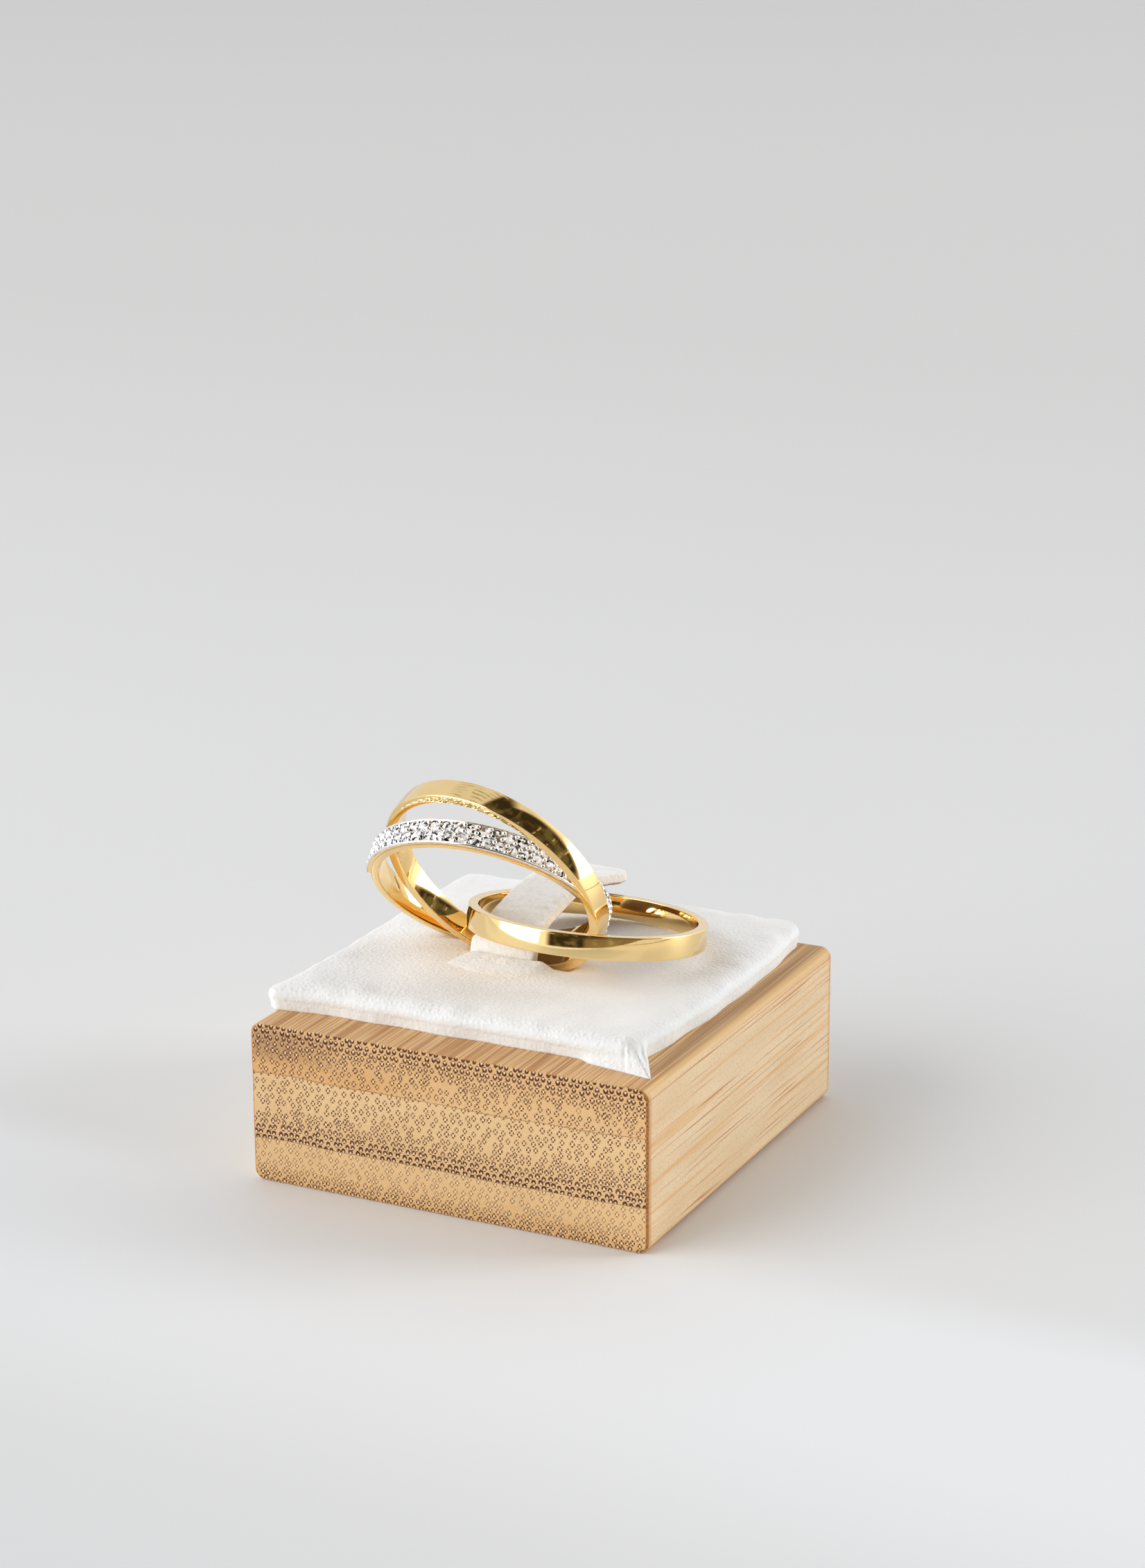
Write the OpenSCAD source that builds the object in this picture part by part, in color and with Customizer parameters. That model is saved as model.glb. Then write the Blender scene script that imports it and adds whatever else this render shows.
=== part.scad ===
// Finger ring of three interlinked gold bands, one of them set with two rows
// of small stones, on its display block: a bamboo block, a white leather pad
// and the leather tongue that holds the ring down.
// Millimetres. Origin under the middle of the block, front of the block at -Y.

/* [Rings] */
// inner radius of every band, a 17.3 mm finger hole
bore_r = 8.65; // [7.5:0.05:11]
// wall of the two plain bands
band_t = 0.88; // [0.6:0.02:1.6]
// width of each plain band along its axis
band_w = 1.86; // [1.4:0.02:3]
// rounding of the bands' edges
edge_r = 0.09; // [0.04:0.01:0.2]
// how far the middle of a band's inside and outside stands over its edges
crown = 0.05; // [0:0.01:0.1]

/* [Stone band] */
// width of the stone band along its axis
stone_band_w = 2.06; // [1.4:0.02:3]
// wall of the gold base under the stones
base_t = 0.70; // [0.6:0.02:1]
// white metal laid on the base, up to the floor between the stones
plate_t = 0.30; // [0.2:0.02:0.5]
// height of the two rails over that floor
rail_h = 0.06; // [0.02:0.01:0.12]
// width of each rail
rail_w = 0.16; // [0.08:0.01:0.2]
// first stone's place round the band, from the right-hand side
stones_from = -24.5; // [-60:0.5:0]
// step from stone to stone in a row
stone_step = 6.1; // [5.5:0.05:8]
// stones in the front row, the back row has one less
stones_in_row = 31; // [8:1:50]
// how far the white metal goes past the middle of each end stone, in degrees
plate_past = 4.4; // [3:0.1:8]
// diameter of a stone at its girdle
stone_d = 0.80; // [0.6:0.02:1]
// each row's distance from the middle of the band
row_at = 0.43; // [0.3:0.01:0.5]
// radius of the beads that hold the stones
bead_r = 0.16; // [0.08:0.01:0.2]

/* [Lie of the bands] */
// upright plain band: centre
upright_at = [-2.198, -4.663, 22.882];
// upright plain band: lean forward over the front of the block
upright_lean = 29.46; // [0:0.1:60]
// upright plain band: turn to the left
upright_turn = 8.05; // [-30:0.05:30]
// stone band: centre
stone_band_at = [-3.608, -3.236, 21.234];
// stone band: lean forward
stone_band_lean = 45.49; // [0:0.1:60]
// stone band: turn to the left
stone_band_turn = -4.97; // [-30:0.05:30]
// flat band: centre
flat_at = [2.657, 1.456, 17.910];
// flat band: fall towards the back and to the right
flat_fall = [-9.54, 1.60, 0];

/* [Block] */
// bamboo block's size
block = [33.8, 35.4, 13.0];
// rounding of the block's four edges along the grain
block_r = 0.9; // [0.3:0.1:3]
// easing of the edges round the cut ends
block_end_r = 0.25; // [0.1:0.05:0.6]

/* [Pad] */
// pad's low corner on the block, in x and y
pad_low = [-16.5, -14.2];
// pad's size in x and y
pad_size = [31.0, 31.4];
// pad's height over the wood
pad_h = 2.3; // [1:0.1:4]
// rounding of the pad's upper edges
pad_r = 1.0; // [0.3:0.1:1.1]
// depth of the dip that the upright bands sit in
dip_h = 1.66; // [1:0.02:2]
// radius of the dip across the slit
dip_r = 11.5; // [8:0.1:20]

// height of the fold that stands before the slit
fold_h = 0.35; // [0:0.05:0.8]
// radius of that fold
fold_r = 0.8; // [0.4:0.05:1]

/* [Tongue] */
// thickness of the tongue
tongue_t = 1.1; // [0.8:0.05:1.6]
// width of the tongue above the bend
tongue_w = 5.2; // [4:0.1:8]
// width of the tongue's root
root_w = 5.9; // [4:0.1:8]
// middle of the tongue's root in x
tongue_x = -2.85; // [-8:0.05:4]
// turn of the tongue to the right
tongue_turn = -3.3; // [-15:0.1:15]
// rounding of the corners at the tongue's tip
tip_r = 2.5; // [0.5:0.1:2.6]
// gap round the tongue in its slit
slit_gap = 0.12; // [0.05:0.01:0.3]
// the tongue's middle line from its root in the wood to its tip: y, z
tongue_path = [[-2.30, 9.60], [-2.30, 14.40], [-2.30, 15.50], [-2.06, 16.40], [-1.35, 17.05],
               [-0.10, 17.70], [2.00, 18.35], [4.20, 18.92], [6.20, 19.18], [8.30, 19.00],
               [10.40, 18.60], [12.50, 18.15], [14.40, 17.78]];

/* [Hidden] */
$fn = 96;
plate_r = bore_r + base_t + plate_t;
pad_top = block[2] + pad_h;
dip_at = [-2.9, 0.9];
fold_at = [-2.8, -3.95];
stone_span = stone_step * (stones_in_row - 1);

gold = [0.86, 0.68, 0.33];
white_metal = [0.86, 0.86, 0.88];
stone_white = [0.93, 0.95, 0.98];
leather_white = [0.93, 0.92, 0.90];
bamboo = [0.80, 0.62, 0.40];

// points of a quarter round of radius r about c, from angle a
function quarter(c, r, a, n = 4) =
    [for (i = [0:n]) c + r * [cos(a + 90 * i / n), sin(a + 90 * i / n)]];

// closed outline of a rectangle from low to high with rounded corners
function rounded(low, high, r, n = 4) = concat(
    quarter([high[0] - r, low[1] + r], r, -90, n),
    quarter([high[0] - r, high[1] - r], r, 0, n),
    quarter([low[0] + r, high[1] - r], r, 90, n),
    quarter([low[0] + r, low[1] + r], r, 180, n));

// box from low to high whose edges are rounded: to r along y, and to end_r round its front and back
module rounded_box(low, high, r, end_r) {
    size = high - low;
    intersection() {
        translate([0, 0, low[2]]) linear_extrude(size[2])
            polygon(rounded([low[0], low[1]], [high[0], high[1]], end_r, 6));
        translate([low[0], 0, 0]) rotate([90, 0, 90]) linear_extrude(size[0])
            polygon(rounded([low[1], low[2]], [high[1], high[2]], end_r, 6));
        translate([0, high[1], 0]) rotate([90, 0, 0]) linear_extrude(size[1])
            polygon(rounded([low[0], low[2]], [high[0], high[2]], r, 6));
    }
}

// a band standing upright, its axis to the front, then leant and turned
module stood(at, lean, turn) {
    translate(at) rotate([90 + lean, 0, -turn]) children();
}

// closed outline of a band's section: softened edges, inside and outside slightly domed
function band_section(wall, width) =
    let (half = width / 2, flat = half - edge_r, outside = bore_r + wall,
         deep = edge_r + crown * pow(flat / half, 2))
    concat(
        quarter([outside - deep, -flat], edge_r, -90),
        [for (i = [-3:3]) let (h = flat * i / 4) [outside - crown * pow(h / half, 2), h]],
        quarter([outside - deep, flat], edge_r, 0),
        quarter([bore_r + deep, flat], edge_r, 90),
        [for (i = [3:-1:-3]) let (h = flat * i / 4) [bore_r + crown * pow(h / half, 2), h]],
        quarter([bore_r + deep, -flat], edge_r, 180));

// plain ring of that section
module plain_band(wall, width) {
    rotate_extrude() polygon(band_section(wall, width));
}

// corners of a regular ring of n points, radius r, height z, first one at angle a
function around(n, r, z, a) = [for (i = [0:n - 1]) [r * cos(a + i * 360 / n), r * sin(a + i * 360 / n), z]];

// one cut stone, table up, girdle at z = 0: an eight-sided table, eight bezel
// facets with sixteen halves between them, and sixteen pavilion facets
module stone(d) {
    r = d / 2;
    points = concat(around(8, 0.60 * r, 0.16 * d, 22.5), around(16, r, 0.02, 0),
                    around(16, r, -0.02, 0), [[0, 0, -0.42 * d]]);
    polyhedron(points, concat(
        [[for (i = [7:-1:0]) i]],
        [for (i = [0:7]) each [[8 + 2 * i, (i + 7) % 8, i],
                               [8 + 2 * i + 1, 8 + 2 * i, i],
                               [8 + (2 * i + 2) % 16, 8 + 2 * i + 1, i]]],
        [for (j = [0:15]) [24 + j, 8 + j, 8 + (j + 1) % 16, 24 + (j + 1) % 16]],
        [for (j = [0:15]) [40, 24 + j, 24 + (j + 1) % 16]]));
}

// places its children on the stone band at radius r, angle a, distance z along
// the axis, with their own +Z pointing outward
module on_band(r, a, z) {
    rotate([0, 0, a]) translate([r, 0, z]) rotate([0, 90, 0]) children();
}

// every stone's place: angle and distance from the middle of the band
function stone_places() = concat(
    [for (k = [0:stones_in_row - 1]) [stones_from + k * stone_step, row_at]],
    [for (k = [0:stones_in_row - 2]) [stones_from + (k + 0.5) * stone_step, -row_at]]);

// every bead's place: the rail side of each gap and beyond the end stones, then the middle of
// each triangle of stones
function bead_places() = concat(
    [for (k = [-1:stones_in_row - 1]) [stones_from + (k + 0.5) * stone_step, row_at + 0.30]],
    [for (k = [0:stones_in_row - 1]) [stones_from + k * stone_step, -row_at - 0.30]],
    [for (k = [0:stones_in_row - 2]) [stones_from + (k + 0.5) * stone_step, row_at - 0.24]],
    [for (k = [0:stones_in_row - 1]) [stones_from + k * stone_step, -row_at + 0.24]]);

// Catmull-Rom point between stations i and i + 1 of a path
function station(p, i) = p[max(0, min(len(p) - 1, i))];
function blend(p, i, t) =
    let (a = station(p, i - 1), b = station(p, i), c = station(p, i + 1), d = station(p, i + 2))
    0.5 * (2 * b + (c - a) * t + (2 * a - 5 * b + 4 * c - d) * t * t + (3 * b - a - 3 * c + d) * t * t * t);
function smooth(p, n) = concat([for (i = [0:len(p) - 2], k = [0:n - 1]) blend(p, i, k / n)], [p[len(p) - 1]]);

// unit vector from one point to the next
function toward(a, b) = (b - a) / norm(b - a);
// a line's points moved sideways by s
function beside(p, s) = [for (i = [0:len(p) - 1])
    let (u = toward(p[max(0, i - 1)], p[min(len(p) - 1, i + 1)])) p[i] + s * [-u[1], u[0]]];

// the bamboo block, with the slot that the tongue's root stands in
module bamboo_block() {
    color(bamboo) difference() {
        rounded_box([-block[0] / 2, -block[1] / 2, 0], [block[0] / 2, block[1] / 2, block[2]],
                    block_r, block_end_r);
        slit(9.4);
    }
}

// room for the tongue's root from height z upward
module slit(z) {
    translate([tongue_x, tongue_path[0][0], z]) rotate([0, 0, tongue_turn])
        translate([-root_w / 2 - slit_gap, -tongue_t / 2 - slit_gap, 0])
            cube([root_w + 2 * slit_gap, tongue_t + 2 * slit_gap, 8]);
}

// the padded leather top: a dip for the upright bands and a fold before the slit
module leather_pad() {
    color(leather_white) difference() {
        union() {
            difference() {
                rounded_box([pad_low[0], pad_low[1], block[2] + 0.01],
                            [pad_low[0] + pad_size[0], pad_low[1] + pad_size[1], pad_top],
                            pad_r, pad_r);
                translate([dip_at[0], dip_at[1], pad_top - dip_h + dip_r]) rolled(dip_r, 4.4);
            }
            translate([fold_at[0], fold_at[1], pad_top + fold_h - fold_r]) rolled(fold_r, 7.0);
        }
        slit(block[2] - 1);
    }
}

// solid of radius r along x with domed ends, l long between the domes' centres
module rolled(r, l) {
    rotate([0, 90, 0]) rotate_extrude() polygon(concat(
        [for (i = [-9:0]) [r * cos(10 * i), r * sin(10 * i) - l / 2]],
        [for (i = [0:9]) [r * cos(10 * i), r * sin(10 * i) + l / 2]]));
}

// the tongue: up out of the slit, back through the bands, over the flat band's rear
module leather_tongue() {
    line = smooth(tongue_path, 4);
    tip = line[len(line) - 1];
    u = toward(line[len(line) - 2], tip);
    end = tip[0] - tongue_path[0][0] + tongue_t / 2;
    color(leather_white)
    translate([tongue_x, tongue_path[0][0], 0]) rotate([0, 0, tongue_turn]) intersection() {
        translate([-root_w, -tongue_path[0][0], 0]) rotate([90, 0, 90]) linear_extrude(2 * root_w)
            polygon(concat(beside(line, tongue_t / 2),
                    [for (i = [1:7]) tip + tongue_t / 2 * (sin(22.5 * i) * u + cos(22.5 * i) * [-u[1], u[0]])],
                    [for (i = [len(line) - 1:-1:0]) beside(line, -tongue_t / 2)[i]]));
        linear_extrude(40) union() {
            translate([-root_w / 2, -1]) square([root_w, 1.4]);
            translate([-tongue_w / 2, -1]) square([tongue_w, end + 1 - tip_r]);
            for (s = [-1, 1]) translate([s * (tongue_w / 2 - tip_r), end - tip_r]) circle(tip_r);
            translate([-tongue_w / 2 + tip_r, 0]) square([tongue_w - 2 * tip_r, end]);
        }
    }
}

// the plain band that stands upright
module plain_band_upright() {
    color(gold) stood(upright_at, upright_lean, upright_turn) plain_band(band_t, band_w);
}

// the plain band that lies flat through the other two
module plain_band_flat() {
    color(gold) translate(flat_at) rotate(flat_fall) plain_band(band_t, band_w);
}

// the stone band's metal: gold base, white half with rails, seats and beads
module stone_band() {
    half = stone_band_w / 2;
    color(gold) stood(stone_band_at, stone_band_lean, stone_band_turn) difference() {
        union() {
            plain_band(base_t, stone_band_w);
            rotate([0, 0, stones_from - plate_past])
                rotate_extrude(angle = stone_span + 2 * plate_past) union() {
                    translate([bore_r + base_t - 0.2, -half + 0.01]) square([plate_t + 0.2, stone_band_w - 0.02]);
                    for (s = [-half + 0.01, half - rail_w - 0.01])
                        translate([plate_r - 0.1, s]) square([rail_h + 0.1, rail_w]);
                }
            for (b = bead_places()) on_band(plate_r - 0.05, b[0], b[1]) sphere(bead_r, $fn = 24);
        }
        for (s = stone_places()) on_band(plate_r - 0.16, s[0], s[1]) {
            cylinder(d = stone_d + 0.06, h = 0.5, $fn = 32);
            translate([0, 0, -0.40]) cylinder(d1 = 0.14, d2 = stone_d + 0.06, h = 0.4001, $fn = 32);
        }
    }
}

// the two rows of white stones
module band_stones() {
    color(stone_white) stood(stone_band_at, stone_band_lean, stone_band_turn)
        for (s = stone_places()) on_band(plate_r - 0.09, s[0], s[1]) rotate([0, 0, 11 * s[0]]) stone(stone_d);
}

bamboo_block();
leather_pad();
leather_tongue();
plain_band_upright();
stone_band();
band_stones();
plain_band_flat();
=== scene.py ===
import bpy
import numpy as np
from mathutils import Matrix


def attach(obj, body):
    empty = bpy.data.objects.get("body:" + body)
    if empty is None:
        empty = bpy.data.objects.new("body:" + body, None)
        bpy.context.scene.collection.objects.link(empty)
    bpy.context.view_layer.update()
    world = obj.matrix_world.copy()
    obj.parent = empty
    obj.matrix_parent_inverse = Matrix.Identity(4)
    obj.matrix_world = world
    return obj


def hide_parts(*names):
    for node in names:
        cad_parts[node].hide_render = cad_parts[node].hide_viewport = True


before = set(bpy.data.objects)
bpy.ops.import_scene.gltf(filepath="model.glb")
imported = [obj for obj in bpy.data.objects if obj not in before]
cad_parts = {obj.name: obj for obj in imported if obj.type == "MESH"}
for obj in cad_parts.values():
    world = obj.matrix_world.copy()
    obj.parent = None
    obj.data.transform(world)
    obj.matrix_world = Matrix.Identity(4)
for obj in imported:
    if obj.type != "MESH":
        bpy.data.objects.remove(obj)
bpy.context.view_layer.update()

# Camera: the photograph's own view, a little above the pad and from the front right corner.
# Pinhole fit: 5000 px of focal length across 1652 px, 16.5 degrees down, 26.3 degrees round.
# Shapes are given in millimetres and handed to Blender in metres.
MM = 0.001


def rotation(axis, angle):
    """Matrix that turns points by an angle in radians about the x, y or z axis."""
    c, s = np.cos(angle), np.sin(angle)
    rows = {"x": [[1, 0, 0], [0, c, -s], [0, s, c]],
            "y": [[c, 0, s], [0, 1, 0], [-s, 0, c]],
            "z": [[c, -s, 0], [s, c, 0], [0, 0, 1]]}
    return np.array(rows[axis])


turn, down, roll = 0.45818, 0.28841, -0.00438
camera_at = np.array([116.087, -231.075, 106.164]) * MM
focal_length_px, picture_width_px = 5000, 1652
look = rotation("y", roll) @ (rotation("x", down) @ rotation("z", -turn))
camera = bpy.data.objects.new("camera", bpy.data.cameras.new("camera"))
camera.data.sensor_fit, camera.data.sensor_width = "HORIZONTAL", 36.0
camera.data.lens = camera.data.sensor_width * focal_length_px / picture_width_px
camera.data.clip_start, camera.data.clip_end = 0.01, 20.0
# rows of look are the camera's right, forward and up directions
axes = np.column_stack([look[0], look[2], -look[1]])
camera.matrix_world = Matrix.Translation(camera_at) @ Matrix(axes.tolist()).to_4x4()
bpy.context.scene.collection.objects.link(camera)
bpy.context.scene.camera = camera
bpy.context.scene.view_settings.view_transform = "Standard"


# The surface that the block stands on: a wide sheet of matt pale paper.
# It is part of the studio and not of the object, and reaches far past the picture.
def linear(red, green, blue):
    """A colour given as 0 to 255 display values, turned into the linear values that a shader takes."""
    c = np.array([red, green, blue]) / 255
    return tuple(np.where(c <= 0.04045, c / 12.92, ((c + 0.055) / 1.055) ** 2.4).tolist())


class Shade:
    """A number that changes over a surface, held by a node's socket; operators add Math nodes."""

    def __init__(self, finish, socket):
        self.finish, self.socket = finish, socket

    def math(self, what, *others, first=None):
        """Adds a Math node on this number and others, or on first and then this number."""
        values = [self, *others] if first is None else [first, self]
        node = self.finish.node("ShaderNodeMath", {"operation": what}, dict(enumerate(values)))
        return Shade(self.finish, node.outputs[0])

    def __add__(self, other):
        return self.math("ADD", other)

    def __sub__(self, other):
        return self.math("SUBTRACT", other)

    def __rsub__(self, other):
        return self.math("SUBTRACT", first=other)

    def __mul__(self, other):
        return self.math("MULTIPLY", other)

    def __truediv__(self, other):
        return self.math("DIVIDE", other)

    def __pow__(self, other):
        return self.math("POWER", other)

    def __abs__(self):
        return self.math("ABSOLUTE")

    __radd__, __rmul__ = __add__, __mul__

    def most(self, other):
        return self.math("MAXIMUM", other)

    def between(self, low, high):
        return self.math("MAXIMUM", low).math("MINIMUM", high)

    def rise(self, low, high):
        """Smooth step from 0 at low to 1 at high; falls instead where low is above high."""
        up = low < high
        node = self.finish.node(
            "ShaderNodeMapRange", {"interpolation_type": "SMOOTHSTEP"},
            {0: self, 1: min(low, high), 2: max(low, high), 3: 0.0 if up else 1.0, 4: 1.0 if up else 0.0})
        return Shade(self.finish, node.outputs[0])


class Finish:
    """The tree of nodes of a material that ends in one Principled shader, or of the world."""

    def __init__(self, name, owner=None):
        self.material = owner or bpy.data.materials.new(name)
        self.material.use_nodes = True
        self.tree = self.material.node_tree
        self.tree.nodes.clear()
        self.coordinates = None

    def node(self, kind, settings=None, sockets=None):
        """Adds a node: settings are its own properties, set first, then values or links of its sockets."""
        node = self.tree.nodes.new(kind)
        for key, value in (settings or {}).items():
            setattr(node, key, value)
        for key, value in (sockets or {}).items():
            socket = node.inputs[key]
            if isinstance(value, Shade):
                value = value.socket
            if isinstance(value, bpy.types.NodeSocket):
                self.tree.links.new(value, socket)
            elif socket.type == "RGBA" and len(value) == 3:
                socket.default_value = (*value, 1.0)
            else:
                socket.default_value = value
        return node

    def place(self, output="Object"):
        """Object coordinates, a surface's normal or a direction in the room, as a vector socket."""
        if self.coordinates is None:
            self.coordinates = self.node("ShaderNodeTexCoord")
        return self.coordinates.outputs[output]

    def parts(self, vector):
        """The three numbers of a vector."""
        split = self.node("ShaderNodeSeparateXYZ", None, {0: vector})
        return [Shade(self, out) for out in split.outputs]

    def vector(self, x=0.0, y=0.0, z=0.0):
        """A vector socket made of three numbers."""
        return self.node("ShaderNodeCombineXYZ", None, {0: x, 1: y, 2: z}).outputs[0]

    def noise(self, vector, scale, detail=2.0, rough=0.5):
        """Cloudy noise around 0.5, scale in cycles to the unit of the vector."""
        node = self.node("ShaderNodeTexNoise", {"noise_dimensions": "3D"},
                         {"Vector": vector, "Scale": scale, "Detail": detail, "Roughness": rough})
        return Shade(self, node.outputs[0])

    def mix(self, factor, low, high):
        """Colour low where factor is 0, high where it is 1."""
        node = self.node("ShaderNodeMix", {"data_type": "RGBA"}, {0: factor, 6: low, 7: high})
        return node.outputs[2]

    def bump(self, height, depth, normal=None):
        """Normal of a surface raised by height (0 to 1) times depth, in metres."""
        sockets = {"Height": height, "Distance": depth, "Strength": 1.0}
        if normal is not None:
            sockets["Normal"] = normal
        return self.node("ShaderNodeBump", None, sockets).outputs[0]

    def close(self, **sockets):
        """Ends the tree in a Principled shader; socket names are written with _ for a space."""
        shader = self.node("ShaderNodeBsdfPrincipled", None,
                           {key.replace("_", " "): value for key, value in sockets.items()})
        output = self.node("ShaderNodeOutputMaterial")
        self.tree.links.new(shader.outputs[0], output.inputs[0])
        return self.material


def mesh_piece(name, points, faces, material, smooth=True):
    """A mesh object from points in millimetres, in one material; smooth may be given face by face."""
    mesh = bpy.data.meshes.new(name)
    mesh.from_pydata((np.asarray(points) * MM).tolist(), [], [list(f) for f in faces])
    mesh.polygons.foreach_set("use_smooth", np.array(np.broadcast_to(smooth, len(mesh.polygons))))
    mesh.materials.append(material)
    piece = bpy.data.objects.new(name, mesh)
    bpy.context.scene.collection.objects.link(piece)
    return piece


paper = Finish("pale_paper")
paper_fibre = paper.noise(paper.place(), 9.0, 3.0)
paper_colour = paper.mix(paper_fibre, linear(225, 225, 225), linear(230, 230, 230))
aside, away, _ = paper.parts(paper.place())
# Painted light and shade on the sheet: duller far behind the block, cooler and darker near the camera, with
# a painted light patch before the block
paper_colour = paper.mix(away.rise(0.02, 0.40) * 0.8, paper_colour, linear(214, 213, 212))
paper_colour = paper.mix(away.rise(-0.03, -0.14) * 0.8, paper_colour, linear(208, 211, 214))
# painted light: a light patch on the sheet just before the block
painted_light_before_block = away.rise(-0.012, -0.022) * away.rise(-0.064, -0.036)
paper_colour = paper.mix(painted_light_before_block * 0.6, paper_colour, linear(244, 246, 249))
# Outside the picture, at the far right, the sheet is painted brighter, as if lit more, and a dark line
# crosses it: both only show in the gold.
paper_colour = paper.mix((aside + away * 0.31).rise(0.065, 0.12), paper_colour, linear(252, 249, 243))
dark_line = abs(aside * 0.819 + away * 0.574 - 0.139).rise(0.0055, 0.0035) * aside.rise(0.05, 0.06)
paper_colour = paper.mix(dark_line, paper_colour, linear(70, 62, 50))
paper_material = paper.close(Base_Color=paper_colour, Roughness=0.6)
sheet_half, sheet_front, sheet_back = 4000, -190, 6000
sheet = [(-sheet_half, sheet_front, 0), (sheet_half, sheet_front, 0),
         (sheet_half, sheet_back, 0), (-sheet_half, sheet_back, 0)]
floor = mesh_piece("floor", sheet, [(0, 1, 2, 3)], paper_material)


# Light: a pale room seen in the gold, a wide window at the front left, a bright wall at the back
# right and darkness behind the camera. Two soft boxes stand for the window and for that wall.
ring_height = 0.02


def soft_box(name, azimuth, height, distance, size, strength, colour):
    """A rectangular lamp at a compass angle from +Y towards +X, facing the ring; metres, degrees."""
    lamp = bpy.data.lights.new(name, "AREA")
    lamp.shape, lamp.size, lamp.size_y = "RECTANGLE", size[0], size[1]
    lamp.energy, lamp.color = strength, colour
    thing = bpy.data.objects.new(name, lamp)
    a, h = np.radians([azimuth, height])
    away = np.array([np.sin(a) * np.cos(h), np.cos(a) * np.cos(h), np.sin(h)])
    side = np.array([np.cos(a), -np.sin(a), 0])
    axes = np.column_stack([side, np.cross(away, side), away])
    lamp_at = away * distance + [0, 0, ring_height]
    thing.matrix_world = Matrix.Translation(lamp_at) @ Matrix(axes.tolist()).to_4x4()
    bpy.context.scene.collection.objects.link(thing)


soft_box("window", -137, 22, 3.0, (2.7, 3.0), 70.0, (1.0, 0.995, 0.985))
soft_box("bright_wall", 57, 12, 3.0, (1.2, 1.5), 42.0, (1.0, 0.99, 0.97))

room = bpy.data.worlds.new("room")
bpy.context.scene.world = room
air = Finish("room", room)
toward = air.place("Generated")
east, north, up = air.parts(toward)
# compass angle in degrees from 0 to 360, and height in degrees
compass = east.math("ARCTAN2", north) * (180 / np.pi)
compass = compass + compass.rise(0.0, -0.001) * 360
height = up.math("ARCSINE") * (180 / np.pi)
# The camera's side of the room lies in shade up to the zenith, with things in it that catch a
# little light and thin bright lines between them; low down at the right it is mid brown. Beyond
# the zenith the ceiling is streaked, and toward the window the wall grows brighter.
across = east * 0.866 - north * 0.5
dark = compass.rise(66, 73) * compass.rise(195, 188) * height.rise(-5.0, -3.5)
dark = dark.most(height.rise(70, 79) * across.rise(-0.13, -0.05))
things = air.noise(toward, 5.0, 3.0).rise(0.46, 0.66)
slats = (height * 0.55 + air.noise(toward, 3.0) * 3).math("SINE").rise(0.3, 0.9)
slats = slats * air.noise(toward, 2.2).rise(0.5, 0.6)
lines = (height * 0.449 - 2.03).math("SINE").rise(0.965, 0.992)
lines = lines * air.noise(toward, 9.0, 1.0).rise(0.50, 0.60)
brown = height.rise(8, 3) * compass.rise(160, 154)
bright = compass.rise(30, 42) * compass.rise(71, 67) * height.rise(33, 25)
beside = compass.rise(296, 246) * height.rise(62, 45)
ceiling = height.rise(44, 58) * across.rise(0.02, -0.08) * compass.rise(60, 30).most(compass.rise(240, 280))
along_ceiling = (east * 0.423 + north * 0.906) / up.most(0.3)
streaks = (along_ceiling * 96 + air.noise(toward, 4.0, 2.0) * 9).math("SINE").rise(0.1, 0.95)
streaks = streaks * air.noise(toward, 7.0, 1.0).rise(0.38, 0.6)
glow = (0.84 + 1.1 * bright + 0.35 * beside) * (1 - dark) * (1 - ceiling * (0.06 + 0.40 * streaks))
glow = glow + dark * (0.05 + 0.15 * things + 0.18 * slats + 0.8 * lines + 0.28 * brown)
dark_tone = air.mix(things, linear(224, 200, 156), linear(212, 202, 152))
tone = air.mix(dark, linear(249, 251, 255), dark_tone)
tone = air.mix(ceiling * streaks * (1 - dark) * 0.8, tone, linear(226, 220, 178))
sky = air.node("ShaderNodeBackground", None, {"Color": tone, "Strength": glow})
air.tree.links.new(sky.outputs[0], air.node("ShaderNodeOutputWorld").inputs[0])


# Bamboo block: three bonded layers of bamboo, sawn across the grain at the front and back and
# planed along it elsewhere; the long edges are rounded, the sawn ones eased, all lacquered thin.
def grid_faces(rows, columns, wrap_rows=False, wrap_columns=False):
    """Quads between the points of a grid, numbered row by row; a wrap joins last and first."""
    i, j = np.indices((rows - (not wrap_rows), columns - (not wrap_columns))).reshape(2, -1)
    k, m = (i + 1) % rows, (j + 1) % columns
    return np.stack([i * columns + j, k * columns + j, k * columns + m, i * columns + m], 1)


def rounded_outline(half_x, half_z, radius):
    """Rectangle round the origin with round corners, anticlockwise, a point close beside each round.

    A corner's round is its centre + radius * (cos a, sin a) for a through 90 degrees."""
    bend, beside = np.radians(np.linspace(0, 90, 9)), 0.12
    round_x = np.concatenate([[radius], radius * np.cos(bend), [-beside]])
    round_z = np.concatenate([[-beside], radius * np.sin(bend), [radius]])
    x, z = half_x - radius + round_x, half_z - radius + round_z
    return np.concatenate([np.stack([x, z], 1), np.stack([-x, z], 1)[::-1],
                           np.stack([-x, -z], 1), np.stack([x, -z], 1)[::-1]])


block_x, block_y, block_z, long_round, end_round = 33.8, 35.4, 13.0, 0.9, 0.25
half_x, half_y, half_z = block_x / 2, block_y / 2, block_z / 2
ease = np.radians(np.linspace(90, 0, 6))
stations = np.stack([-half_y + end_round * (1 - np.sin(ease)), end_round * (1 - np.cos(ease))], 1)
stations = np.vstack([stations, [-half_y + 0.5, 0], [half_y - 0.5, 0], (stations * [-1, 1])[::-1]])
outlines = [rounded_outline(half_x - inset, half_z - inset, long_round - inset) for _, inset in stations]
rings = np.stack([np.insert(outline + [0, half_z], 1, y, axis=1)
                  for outline, (y, _) in zip(outlines, stations)])
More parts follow.
